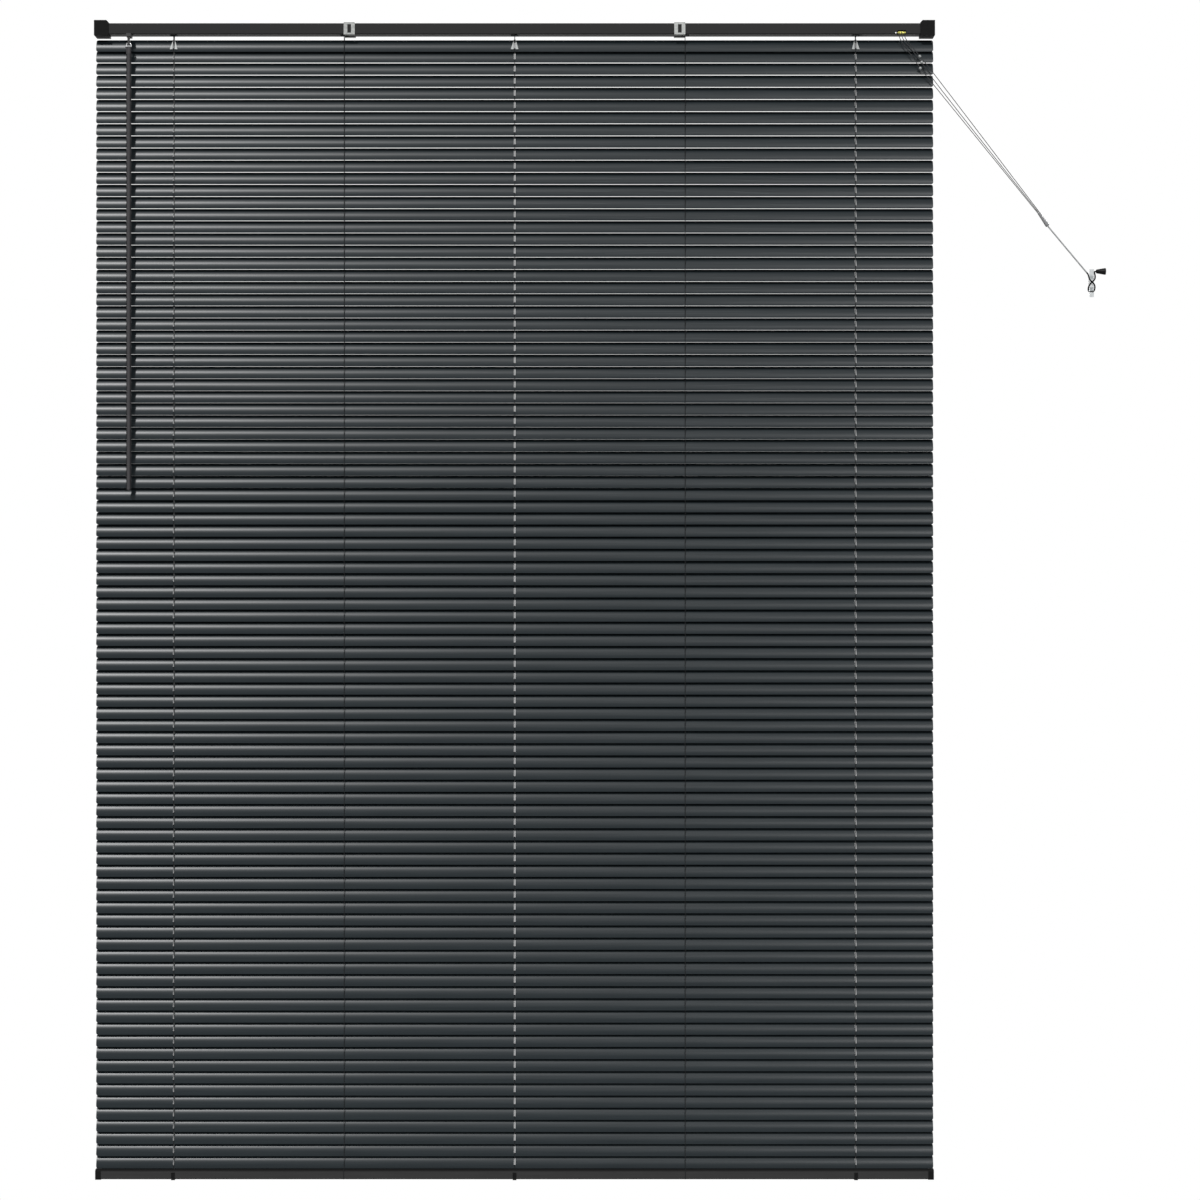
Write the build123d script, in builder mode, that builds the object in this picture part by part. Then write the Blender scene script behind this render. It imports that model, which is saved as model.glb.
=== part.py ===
import os
from math import atan2, cos, degrees, radians, sin, tan

from build123d import *

# Overall sizes, in millimetres
blind_width = 1600
slat_count = 93
slat_pitch = 23.165
top_slat_pitch = 20.9
first_slat_drop = 30
ladder_spacing = 325
bracket_spacing = 629

# Headrail, a roll-formed steel channel open at the top
rail_depth = 25
rail_height = 21
rail_wall = 0.5
rail_corner = 1.5
rail_lip = 3.5

# End caps, sleeves over the ends of the headrail
cap_length = 27.5
cap_side_wall = 1.8
cap_end_wall = 1.5
cap_rise = 5.5
cap_drop = 3.5
cap_bevel = 4
cap_corner = 2

# Mounting brackets, steel saddles over the headrail
bracket_width = 21
bracket_wall = 1.2
bracket_lip = 3
bracket_bend = 1
screw_room = 3.3
screw_hole = 5
access_slot_width = 7
access_slot_height = 16

# Slats
slat_inset = 2
slat_chord = 25
slat_crown = 2
slat_thickness = 0.21
slat_tilt = 70
slat_flat = 12.6
route_slot_length = 12
route_slot_width = 4
slat_nodes = 8

# Tilt shaft, drums and cradles
rod_height = 1.5
rod_side = 5
drum_radius = 7.5
drum_overhang = 1
drum_sides = 24
hub_radius = 5
rod_overhang = 3
ladder_opening = 14
cradle_length = 26
cradle_wall = 3
cradle_foot_width = 2.5
cradle_arch = 3
cradle_rise = 2
saddle_sides = 12

# Tilter
tilter_inset = 67
tilter_length = 28
tilter_bevel = 3
nose_width = 9
nose_depth = 6.2
nose_roof = 1.2
neck_back = 8
neck_inset = 2.5
stem_radius = 2.5
stem_reach = 11
stem_tip = 3.5
eye_radius = 1.3
wand_clear = 1.1

# Wand
bail_wire = 1.6
bail_half_width = 4.6
bail_drop = 8
ferrule_radius = 5
ferrule_length = 12.6
wand_length = 830
wand_across_flats = 8.2
wand_tip_bevel = 1.5

# Cords
lift_cord = 1.4
ladder_string = 1.0
pull_cord = 2.8
cord_run_height = 1.1
cord_run_step = 3
cord_run_bend = 24
cord_turn = 3

# Cord lock
lock_inset = 63
lock_length = 36
mouth_length = 18
mouth_depth = 9.5
mouth_margin = 2
lock_roller_radius = 3
lock_roller_length = 14
lock_roller_set_back = 5.5
lock_roller_rise = 4
lock_pin_radius = 1.2
lock_pin_length = 2
pawl_pin_radius = 1
pawl_boss = 2
pawl_set_back = 7
pawl_rise = 11.5
pawl_room = 4
pawl_reach = 4.5
pawl_nose = 1.5
tooth_pitch = 1.5
tooth_depth = 0.8
strand_spacing = 5.2
strand_set_back = 1.5
strand_drop = 6
rivet_radius = 1.25
rivet_height = 1

# Cord fittings
stop_radius = 2.8
stop_length = 5
stop_sides = 8
stop_spots = ((-31.2, -71), (-28.3, -59.6), (-32.1, -48.2))
stop_bend = 30
stop_lead = 3
joiner_top = Vector(blind_width / 2 + 199.1, -16.6, -348.2)
joiner_bottom = Vector(blind_width / 2 + 217.2, -15.1, -373.9)
joiner_radius = 3.9
joiner_taper = 1.1
joiner_sides = 12
joiner_spacing = 1.7
lead_in_length = 20
cord_gap = 0.5
tassel_length = 18
tassel_small = 3.65
tassel_large = 6.35
tassel_lip = 2
tassel_sides = 20

# Cleat
cleat_x = blind_width / 2 + 301.4
cleat_z = -482.7
cleat_width = 8
cleat_height = 53
cleat_bar = 5
cleat_stand_off = 9
cleat_post = 16
cleat_foot = 30
cleat_foot_wall = 3
cleat_flare = 3
cleat_screw = 4
cleat_screw_spacing = 7

# Bottom rail
bottom_height = 18
bottom_wall = 0.8
bottom_corner = 3
bottom_gap = 1.2
bottom_cap_length = 10.5
bottom_cap_wall = 2
bottom_cap_proud = 1
plug_width = 7
plug_height = 12
plug_wall = 1

# Clips on the top slat
clip_foot = 14.6
clip_lean = 75
clip_height = 21
clip_shift = 1.5
clip_slot = 17.5
clip_wall = 1

# Clearances
running_fit = 0.1
seat_gap = 0.3
wrap_slack = 0.8

# Places that follow from the sizes
rail_back = -(bracket_wall + screw_room)
rail_front = rail_back - rail_depth
rail_y = rail_back - rail_depth / 2
rail_top = rail_height / 2
rail_bottom = -rail_height / 2
rail_floor = rail_bottom + rail_wall
rail_length = blind_width - 2 * cap_end_wall
inner_half_depth = rail_depth / 2 - rail_wall - seat_gap
ladder_x = [ladder_spacing * i for i in (-2, -1, 0, 1, 2)]
lift_x = [ladder_x[4], ladder_x[2], ladder_x[0]]
tilter_x = -(blind_width / 2 - tilter_inset)
neck_y = rail_front + neck_inset + neck_back / 2
wand_y = rail_front - wand_clear - ferrule_radius
lock_x = blind_width / 2 - lock_inset
slat_length = blind_width - 2 * slat_inset
second_drop = first_slat_drop + top_slat_pitch
slat_heights = [-first_slat_drop] + [-second_drop - slat_pitch * i for i in range(slat_count - 1)]

chord_way = Vector(0, cos(radians(slat_tilt)), sin(radians(slat_tilt)))
crown_way = Vector(0, -sin(radians(slat_tilt)), cos(radians(slat_tilt)))
slat_plane = Plane((0, rail_y, 0), x_dir=(1, 0, 0), z_dir=crown_way)
slat_section = Plane((-slat_length / 2, rail_y, 0), x_dir=chord_way, z_dir=(1, 0, 0))
edge_back = chord_way.Y * slat_chord / 2 - crown_way.Y * (slat_crown / 2 + slat_thickness)
edge_front = -chord_way.Y * slat_chord / 2 - crown_way.Y * slat_crown / 2
last_edge = slat_heights[-1] - (chord_way * slat_chord / 2 + crown_way * slat_crown / 2).Z
bottom_top = last_edge - bottom_gap

os.makedirs("parts", exist_ok=True)


def save(piece, name):
    piece.part.label = name
    export_step(piece.part, f"parts/{name}.step")


def bend_radii(points):
    """Radius of each corner of a cord's route, as large as its two runs allow."""
    radii = []
    for before, here, after in zip(points, points[1:], points[2:]):
        run_in = Vector(here) - Vector(before)
        run_out = Vector(after) - Vector(here)
        half_turn = radians(run_in.get_angle(run_out)) / 2
        radii.append(0.45 * min(run_in.length, run_out.length) / tan(half_turn))
    return radii


def cord(name, points, diameter, radii=None):
    """A six-sided cord along straight runs and tangent arcs."""
    radii = bend_radii(points) if radii is None else radii
    with BuildPart() as tube:
        with BuildLine() as route:
            if radii:
                FilletPolyline(*points, radius=radii)
            else:
                Line(*points)
        with BuildSketch(Plane(points[0], z_dir=Vector(points[1]) - Vector(points[0]))) as section:
            RegularPolygon(diameter / 2, 6)
        sweep(path=route.line)
    length = sum(edge.length for edge in route.edges())
    print(name, "length", round(length, 1), "radii", [round(r, 1) for r in radii])
    print(name, "volume over section times length", round(tube.part.volume / (section.sketch.area * length), 4))
    save(tube, name)
    return route.wire()


def least_gap(path, diameter):
    """Smallest gap between two turns of a wound cord, measured on points along it."""
    steps = int(path.length)
    spots = [path @ (i / steps) for i in range(steps + 1)]
    apart = int(4 * diameter)
    gaps = [(spots[i] - spots[j]).length for i in range(steps + 1) for j in range(i - apart)]
    return min(gaps) - diameter


# Headrail, with openings for the ladders, the tilter stem and the cord lock
with BuildPart() as headrail:
    with BuildSketch(Plane.YZ.offset(-rail_length / 2)):
        with Locations((rail_y, 0)):
            RectangleRounded(rail_depth, rail_height, rail_corner)
            RectangleRounded(
                rail_depth - 2 * rail_wall,
                rail_height - 2 * rail_wall,
                rail_corner - rail_wall,
                mode=Mode.SUBTRACT,
            )
        with Locations((rail_y, rail_top)):
            Rectangle(rail_depth - 2 * rail_lip, rail_height, mode=Mode.SUBTRACT)
    extrude(amount=rail_length)
    with BuildSketch(Plane.XY.offset(rail_bottom)):
        with Locations([(x, rail_y) for x in ladder_x]):
            Rectangle(ladder_opening, 2 * (drum_radius + ladder_string + 2 * seat_gap))
        with Locations((tilter_x, neck_y)):
            Rectangle(nose_width + 2 * seat_gap, neck_back + 2 * seat_gap)
    extrude(amount=2 * rail_wall, both=True, mode=Mode.SUBTRACT)
    with BuildSketch(Plane.XY.offset(rail_bottom)):
        with Locations((lock_x, rail_front)):
            Rectangle(mouth_length - mouth_margin, 2 * mouth_depth)
    extrude(amount=mouth_depth - mouth_margin, mode=Mode.SUBTRACT)
save(headrail, "headrail")

# End caps
for side, name in ((-1, "end_cap_left"), (1, "end_cap_right")):
    inner_end = side * (blind_width / 2 - cap_length)
    cap_top = rail_top + cap_rise
    cap_bottom = rail_bottom - cap_drop
    cap_half = rail_depth / 2 + seat_gap + cap_side_wall
    with BuildPart() as end_cap:
        with BuildSketch(Plane.XZ.offset(-rail_y - cap_half)):
            with BuildLine():
                Polyline(
                    (side * blind_width / 2, cap_bottom),
                    (side * blind_width / 2, cap_top),
                    (inner_end + side * cap_bevel, cap_top),
                    (inner_end, cap_top - cap_bevel),
                    (inner_end, cap_bottom),
                    close=True,
                )
            make_face()
        extrude(amount=2 * cap_half)
        outer_end = end_cap.faces().sort_by(Axis.X)[0 if side < 0 else -1]
        fillet(outer_end.edges().filter_by(Axis.Y).sort_by(Axis.Z)[0], cap_corner)
        with BuildSketch(Plane.YZ.offset(inner_end)):
            with Locations((rail_y, 0)):
                Rectangle(rail_depth + 2 * seat_gap, rail_height + 2 * seat_gap)
        extrude(amount=side * (cap_length - cap_end_wall), mode=Mode.SUBTRACT)
    save(end_cap, name)

# Mounting brackets, with a screw hole at the back and top and an access slot in front
bracket_top = rail_top + seat_gap + bracket_wall
bracket_bottom = rail_bottom - seat_gap - bracket_wall
bracket_front = rail_front - seat_gap - bracket_wall
for side, name in ((-1, "mounting_bracket_left"), (1, "mounting_bracket_right")):
    bracket_x = side * bracket_spacing / 2
    with BuildPart() as bracket:
        with BuildSketch(Plane.YZ.offset(bracket_x - bracket_width / 2)) as saddle:
            with Locations((bracket_front / 2, 0)):
                Rectangle(-bracket_front, bracket_top - bracket_bottom)
            chamfer(saddle.vertices(), bracket_bend)
            with Locations((bracket_front / 2, 0)):
                Rectangle(
                    -bracket_front - 2 * bracket_wall,
                    bracket_top - bracket_bottom - 2 * bracket_wall,
                    mode=Mode.SUBTRACT,
                )
            with Locations((rail_y, bracket_bottom)):
                Rectangle(rail_depth - 2 * bracket_lip, rail_height, mode=Mode.SUBTRACT)
        extrude(amount=bracket_width)
        with BuildSketch(Plane.XZ.offset(-bracket_front)):
            with Locations((bracket_x, 0)):
                Rectangle(access_slot_width, access_slot_height)
        extrude(amount=-2 * bracket_wall, mode=Mode.SUBTRACT)
        with BuildSketch(Plane.XZ):
            with Locations((bracket_x, 0)):
                Circle(screw_hole / 2)
        extrude(amount=2 * bracket_wall, both=True, mode=Mode.SUBTRACT)
        with BuildSketch(Plane.XY.offset(bracket_top)):
            with Locations((bracket_x, rail_y)):
                Circle(screw_hole / 2)
        extrude(amount=-2 * bracket_wall, mode=Mode.SUBTRACT)
    save(bracket, name)

# Tilt rod
rod_start = tilter_x - tilter_length / 2 - rod_overhang
rod_end = ladder_x[-1] + cradle_length / 2 + drum_overhang + rod_overhang
with BuildPart() as tilt_rod:
    with BuildSketch(Plane.YZ.offset(rod_start)):
        with Locations((rail_y, rod_height)):
            Rectangle(rod_side, rod_side)
    extrude(amount=rod_end - rod_start)
save(tilt_rod, "tilt_rod")

# Ladder drums and the cradles they turn in
for number, x in enumerate(ladder_x, 1):
    with BuildPart() as drum:
        with BuildSketch(Plane.YZ.offset(x - cradle_length / 2 - drum_overhang)):
            with Locations((rail_y, rod_height)):
                RegularPolygon(drum_radius, drum_sides)
                Rectangle(rod_side + 2 * running_fit, rod_side + 2 * running_fit, mode=Mode.SUBTRACT)
        extrude(amount=cradle_length + 2 * drum_overhang)
    save(drum, f"ladder_drum_{number}")

    with BuildPart() as cradle:
        cradle_top = rod_height + cradle_rise
        with BuildSketch(Plane.YZ.offset(x - cradle_length / 2)) as saddle:
            with Locations((rail_y, (rail_floor + cradle_top) / 2)):
                Rectangle(2 * inner_half_depth, cradle_top - rail_floor)
            chamfer(saddle.vertices().group_by(Axis.Y)[0], rail_corner)
            with Locations((rail_y, rod_height)):
                RegularPolygon(
                    drum_radius + running_fit, saddle_sides, major_radius=False, mode=Mode.SUBTRACT
                )
            with Locations((rail_y, rod_height + cradle_rise / 2)):
                Rectangle(2 * (drum_radius + running_fit), cradle_rise, mode=Mode.SUBTRACT)
            with Locations((rail_y, rail_floor + cradle_arch / 2)):
                Rectangle(2 * (inner_half_depth - cradle_foot_width), cradle_arch, mode=Mode.SUBTRACT)
        extrude(amount=cradle_length)
        middle = cradle_length - 2 * cradle_wall
        with BuildSketch(Plane.YZ.offset(x - middle / 2)):
            with Locations((rail_y, rail_floor + cradle_arch + rail_height / 2)):
                Rectangle(rail_depth, rail_height)
            with Locations((rail_y, rail_floor)):
                Rectangle(2 * (inner_half_depth - cradle_foot_width), 4 * cradle_arch)
        extrude(amount=middle, mode=Mode.SUBTRACT)
    save(cradle, f"drum_cradle_{number}")

# Tilter, with its hub on the rod and a nose that carries the stem in front of the headrail
nose_top = rail_bottom - seat_gap
nose_bottom = nose_top - nose_depth
housing_top = rail_top - rail_wall - seat_gap
with BuildPart() as tilter_housing:
    with BuildSketch(Plane.YZ.offset(tilter_x - tilter_length / 2)) as block:
        with Locations((rail_y, (rail_floor + housing_top) / 2)):
            Rectangle(2 * inner_half_depth, housing_top - rail_floor)
        chamfer(block.vertices().group_by(Axis.Y)[0], rail_corner)
        chamfer(block.vertices().group_by(Axis.Y)[-1], tilter_bevel)
        with Locations((rail_y, rod_height)):
            Circle(hub_radius + running_fit, mode=Mode.SUBTRACT)
    extrude(amount=tilter_length)
    with BuildSketch(Plane.XY.offset(nose_bottom)):
        with Locations((tilter_x, neck_y)):
            Rectangle(nose_width, neck_back)
    extrude(amount=rail_floor - nose_bottom)
    with BuildSketch(Plane.XY.offset(nose_bottom)):
        with Locations((tilter_x, wand_y)):
            Rectangle(nose_width, 2 * (neck_y - wand_y))
            Circle(stem_radius + running_fit, mode=Mode.SUBTRACT)
        with Locations((tilter_x, wand_y - nose_width / 2)):
            Rectangle(nose_width, rail_depth, align=(Align.CENTER, Align.MAX), mode=Mode.SUBTRACT)
    extrude(amount=nose_depth)
    with BuildSketch(Plane.XY.offset(nose_top)):
        with Locations((tilter_x, wand_y)):
            Rectangle(nose_width, nose_width)
    extrude(amount=-nose_roof)
save(tilter_housing, "tilter_housing")

with BuildPart() as tilt_hub:
    with BuildSketch(Plane.YZ.offset(tilter_x - tilter_length / 2)):
        with Locations((rail_y, rod_height)):
            Circle(hub_radius)
            Rectangle(rod_side + 2 * running_fit, rod_side + 2 * running_fit, mode=Mode.SUBTRACT)
    extrude(amount=tilter_length)
save(tilt_hub, "tilt_hub")

eye_z = nose_bottom - stem_reach
stem_top = nose_top - nose_roof - seat_gap
with BuildPart() as tilter_stem:
    with BuildSketch(Plane.XY.offset(stem_top)):
        with Locations((tilter_x, wand_y)):
            Circle(stem_radius)
    extrude(amount=eye_z - stem_tip - stem_top)
    with BuildSketch(Plane.YZ.offset(tilter_x)):
        with Locations((wand_y, eye_z)):
            Circle(eye_radius)
    extrude(amount=2 * stem_radius, both=True, mode=Mode.SUBTRACT)
save(tilter_stem, "tilter_stem")

# Wand, hung from the stem's eye by a wire bail
bail_foot = eye_z - bail_drop
bail_points = [
    (tilter_x - bail_half_width, wand_y, bail_foot),
    (tilter_x - bail_half_width, wand_y, eye_z),
    (tilter_x + bail_half_width, wand_y, eye_z),
    (tilter_x + bail_half_width, wand_y, bail_foot),
]
cord("wand_bail", bail_points, bail_wire, [bail_wire, bail_wire])

with BuildPart() as wand:
    with BuildSketch(Plane((tilter_x, wand_y, bail_foot))):
        Rectangle(2 * (bail_half_width + bail_wire), 2 * bail_wire)
    extrude(amount=-bail_wire)
    with BuildSketch(Plane((tilter_x, wand_y, bail_foot - bail_wire))):
        Circle(ferrule_radius)
    extrude(amount=-ferrule_length)
    with BuildSketch(Plane((tilter_x, wand_y, bail_foot - ferrule_length))):
        RegularPolygon(wand_across_flats / 2, 6, major_radius=False)
    extrude(amount=-wand_length)
    chamfer(wand.faces().sort_by(Axis.Z)[0].edges(), wand_tip_bevel)
save(wand, "wand")

# One slat, rolled in three flats, then all of them in nodes from the top down
with BuildPart() as slat:
    with BuildSketch(slat_section):
        with BuildLine():
            Polyline(
                (-slat_chord / 2, -slat_crown / 2),
                (-slat_flat / 2, slat_crown / 2),
                (slat_flat / 2, slat_crown / 2),
                (slat_chord / 2, -slat_crown / 2),
                (slat_chord / 2, -slat_crown / 2 - slat_thickness),
                (slat_flat / 2, slat_crown / 2 - slat_thickness),
                (-slat_flat / 2, slat_crown / 2 - slat_thickness),
                (-slat_chord / 2, -slat_crown / 2 - slat_thickness),
                close=True,
            )
        make_face()
    extrude(amount=slat_length)
    with BuildSketch(slat_plane):
        with Locations([(x, 0) for x in lift_x]):
            Rectangle(route_slot_width, route_slot_length)
    extrude(amount=2 * slat_crown, both=True, mode=Mode.SUBTRACT)

share = -(-slat_count // slat_nodes)
for number in range(slat_nodes):
    heights = slat_heights[number * share : (number + 1) * share]
    with BuildPart() as slats:
        with Locations([(0, 0, z) for z in heights]):
            add(slat.part)
    save(slats, f"slats_{number + 1}")

# Clips that hold the ladders to the top slat at the lift cords
with BuildPart() as slat_clips:
    clip_plane = Plane(
        slat_plane.origin + Vector(0, 0, slat_heights[0]) + crown_way * (slat_crown / 2 + seat_gap),
        x_dir=(1, 0, 0),
        z_dir=crown_way,
    )
    with BuildSketch(clip_plane):
        with Locations([(x, clip_shift) for x in lift_x]):
            Trapezoid(clip_foot, clip_height, clip_lean)
        with Locations([(x, clip_shift - clip_height / 2) for x in lift_x]):
            Rectangle(
                route_slot_width, clip_slot, align=(Align.CENTER, Align.MIN), mode=Mode.SUBTRACT
            )
    extrude(amount=clip_wall)
save(slat_clips, "slat_clips")

# Ladder strings, from the drums to the bottom rail
string_start = drum_radius + ladder_string / 2 + seat_gap
string_gap = ladder_string / 2 + seat_gap
first_edge = -first_slat_drop + slat_chord / 2
for number, x in enumerate(ladder_x, 1):
    with BuildPart() as ladder:
        for begin, end in ((-string_start, edge_front - string_gap), (string_start, edge_back + string_gap)):
            points = [
                (x, rail_y + begin, rod_height),
                (x, rail_y + begin, rail_bottom),
                (x, rail_y + end, first_edge),
                (x, rail_y + end, bottom_top),
            ]
            with BuildLine() as string_route:
                Polyline(*points)
            with BuildSketch(Plane(points[0], z_dir=(0, 0, -1))):
                RegularPolygon(ladder_string / 2, 4)
            sweep(path=string_route.line, transition=Transition.RIGHT)
    save(ladder, f"ladder_{number}")

# Lift cords, down through the slats, and their runs along the floor of the headrail
run_z = rail_floor + cord_run_height
lock_left = lock_x - lock_length / 2
for number, x in enumerate(lift_x, 1):
    with BuildPart() as lift_part:
        with BuildSketch(Plane((x, rail_y, rail_bottom - cord_turn))):
            RegularPolygon(lift_cord / 2, 6)
        extrude(amount=bottom_top - rail_bottom + cord_turn)
    save(lift_part, f"lift_cord_{number}")
    run_y = rail_y + cord_run_step * (number - 1)
    run_points = [(lock_left, run_y, run_z)]
    run_radii = []
    if number > 1:
        run_points += [(x + 2 * cord_run_bend, run_y, run_z), (x + cord_run_bend, rail_y, run_z)]
        run_radii += [cord_run_bend, cord_run_bend]
    run_points += [(x, rail_y, run_z), (x, rail_y, rail_bottom - cord_turn)]
    run_radii += [cord_turn]
    cord(f"lift_cord_run_{number}", run_points, lift_cord, run_radii)

# Cord lock, with a brass roller and a toothed pawl in its mouth
mouth_back = rail_front + mouth_depth
roller_y = rail_front + lock_roller_set_back
roller_z = rail_bottom + lock_roller_rise
pawl_y = rail_front + pawl_set_back
pawl_z = rail_bottom + pawl_rise
mouth_top = pawl_z + pawl_room
with BuildPart() as cord_lock:
    with BuildSketch(Plane.YZ.offset(lock_left)) as lock_block:
        with Locations((rail_y, (rail_floor + housing_top) / 2)):
            Rectangle(2 * inner_half_depth, housing_top - rail_floor)
        chamfer(lock_block.vertices().group_by(Axis.Y)[0], rail_corner)
    extrude(amount=lock_length)
    with BuildSketch(Plane.YZ.offset(lock_x)):
        with Locations((mouth_back, rail_bottom)):
            Rectangle(
                2 * mouth_depth, mouth_top - rail_bottom, align=(Align.MAX, Align.MIN)
            )
    extrude(amount=mouth_length / 2, both=True, mode=Mode.SUBTRACT)
    with BuildSketch(Plane.YZ.offset(lock_x)):
        with Locations((roller_y, roller_z)):
            Circle(lock_pin_radius + running_fit)
        with Locations((pawl_y, pawl_z)):
            Circle(pawl_pin_radius + running_fit)
    extrude(amount=mouth_length / 2 + lock_pin_length + seat_gap, both=True, mode=Mode.SUBTRACT)
save(cord_lock, "cord_lock")

with BuildPart() as lock_roller:
    with BuildSketch(Plane.YZ.offset(lock_x)):
        with Locations((roller_y, roller_z)):
            Circle(lock_roller_radius)
    extrude(amount=lock_roller_length / 2, both=True)
    with BuildSketch(Plane.YZ.offset(lock_x)):
        with Locations((roller_y, roller_z)):
            Circle(lock_pin_radius)
    extrude(amount=mouth_length / 2 + lock_pin_length, both=True)
save(lock_roller, "lock_roller")

strand_z = roller_z + lock_roller_radius + lift_cord / 2 + seat_gap
with BuildPart() as lock_pawl:
    tooth_z = strand_z + lift_cord / 2 + seat_gap
    with BuildSketch(Plane.YZ.offset(lock_x)):
        with BuildLine():
            Polyline(
                (pawl_y + pawl_boss, pawl_z),
                (pawl_y, pawl_z + pawl_boss),
                (pawl_y - pawl_reach, tooth_z + pawl_nose),
                (pawl_y - pawl_reach, tooth_z),
                (pawl_y - pawl_reach + tooth_pitch / 2, tooth_z + tooth_depth),
                (pawl_y - pawl_reach + tooth_pitch, tooth_z),
                (pawl_y - pawl_reach + 3 * tooth_pitch / 2, tooth_z + tooth_depth),
                (pawl_y - pawl_reach + 2 * tooth_pitch, tooth_z),
                (pawl_y, pawl_z - pawl_boss),
                close=True,
            )
        make_face()
    extrude(amount=lock_roller_length / 2, both=True)
    with BuildSketch(Plane.YZ.offset(lock_x)):
        with Locations((pawl_y, pawl_z)):
            Circle(pawl_pin_radius)
    extrude(amount=mouth_length / 2 + lock_pin_length, both=True)
save(lock_pawl, "lock_pawl")

with BuildPart() as lock_rivet:
    with BuildSketch(Plane.XZ.offset(-rail_front)):
        with Locations((lock_x - mouth_length / 2 - 2 * rivet_radius, rail_bottom + 2 * rivet_radius)):
            Circle(rivet_radius)
    extrude(amount=rivet_height)
save(lock_rivet, "lock_rivet")

# Bottom rail, a closed rolled section with a cap at each end
bottom_middle = bottom_top - bottom_height / 2
bottom_length = slat_length - 2 * bottom_cap_wall
with BuildPart() as bottom_rail:
    with BuildSketch(Plane.YZ.offset(-bottom_length / 2)):
        with Locations((rail_y, bottom_middle)):
            RectangleRounded(rail_depth, bottom_height, bottom_corner)
            RectangleRounded(
                rail_depth - 2 * bottom_wall,
                bottom_height - 2 * bottom_wall,
                bottom_corner - bottom_wall,
                mode=Mode.SUBTRACT,
            )
    extrude(amount=bottom_length)
save(bottom_rail, "bottom_rail")

for side, name in ((-1, "bottom_cap_left"), (1, "bottom_cap_right")):
    with BuildPart() as bottom_cap:
        with BuildSketch(Plane.YZ.offset(side * slat_length / 2)):
            with Locations((rail_y, bottom_middle)):
                RectangleRounded(
                    rail_depth + 2 * bottom_cap_proud,
                    bottom_height + 2 * bottom_cap_proud,
                    bottom_corner + bottom_cap_proud,
                )
        extrude(amount=-side * bottom_cap_length)
        with BuildSketch(Plane.YZ.offset(side * bottom_length / 2)):
            with Locations((rail_y, bottom_middle)):
                RectangleRounded(
                    rail_depth + 2 * running_fit,
                    bottom_height + 2 * running_fit,
                    bottom_corner + running_fit,
                )
        extrude(amount=-side * bottom_cap_length, mode=Mode.SUBTRACT)
    save(bottom_cap, name)

with BuildPart() as rail_plugs:
    bottom_under = bottom_top - bottom_height
    with BuildSketch(Plane.YZ.offset(-plug_width / 2)):
        with Locations((rail_front, bottom_under)):
            Rectangle(plug_height + plug_wall, plug_wall, align=(Align.MIN, Align.MAX))
            Rectangle(plug_wall, plug_height + plug_wall, align=(Align.MAX, Align.MIN))
            Rectangle(plug_wall, plug_wall, align=(Align.MAX, Align.MAX))
    extrude(amount=plug_width)
plug_body = rail_plugs.part
with BuildPart() as cord_plugs:
    with Locations([(x, 0, 0) for x in lift_x]):
        add(plug_body)
save(cord_plugs, "cord_plugs")

# Cleat on the wall, with the cord crossed over it
bar_y = -(cleat_stand_off + cleat_bar / 2)
with BuildPart() as cleat:
    with BuildSketch(Plane.YZ.offset(cleat_x - cleat_width / 2)):
        with Locations((0, cleat_z)):
            Rectangle(cleat_foot_wall, cleat_foot, align=(Align.MAX, Align.CENTER))
            Rectangle(cleat_stand_off + cleat_bar, cleat_post, align=(Align.MAX, Align.CENTER))
        for way in (-1, 1):
            with BuildLine():
                Polyline(
                    (-cleat_stand_off, cleat_z),
                    (-cleat_stand_off, cleat_z + way * cleat_post / 2),
                    (-cleat_stand_off - cleat_flare, cleat_z + way * cleat_height / 2),
                    (-cleat_stand_off - cleat_flare - cleat_bar / 2, cleat_z + way * cleat_height / 2),
                    (-cleat_stand_off - cleat_bar, cleat_z + way * cleat_post / 2),
                    (-cleat_stand_off - cleat_bar, cleat_z),
                    close=True,
                )
            make_face()
    extrude(amount=cleat_width)
    with BuildSketch(Plane.XZ):
        with Locations((cleat_x, cleat_z)):
            with GridLocations(0, cleat_screw_spacing, 1, 2):
                Circle(cleat_screw / 2)
    extrude(amount=2 * cleat_stand_off, both=True, mode=Mode.SUBTRACT)
save(cleat, "cleat")

# Pulled cords, from the lock through their stops to the joiner
strand_y = rail_front + strand_set_back
joiner_way = (joiner_bottom - joiner_top).normalized()
joiner_side = joiner_way.cross(Vector(0, 1, 0)).normalized()
strands = []
with BuildPart() as cord_stops:
    for number, (stop_x, stop_z) in enumerate(stop_spots):
        start_x = lock_x + strand_spacing * (number - 1)
        joined = joiner_top + joiner_side * joiner_spacing * (number - 1) - joiner_way * seat_gap
        bend = Vector(blind_width / 2 + stop_x, strand_y, stop_z)
        way = (joined - bend).normalized()
        strands.append(
            [
                (start_x, mouth_back, strand_z),
                (start_x, strand_y, strand_z),
                (start_x, strand_y, rail_bottom - strand_drop),
                tuple(bend),
                tuple(joined),
            ]
        )
        with BuildSketch(Plane(bend + way * (stop_length / 2 + stop_lead), z_dir=way)):
            RegularPolygon(stop_radius, stop_sides)
            RegularPolygon(lift_cord / 2 + seat_gap, 6, mode=Mode.SUBTRACT)
        extrude(amount=stop_length / 2, both=True)
save(cord_stops, "cord_stops")

for number, points in enumerate(strands, 1):
    radii = bend_radii(points)
    radii[0] = lock_roller_radius + seat_gap + lift_cord / 2
    radii[-1] = stop_bend
    cord(f"pull_cord_{number}", points, lift_cord, radii)

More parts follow.
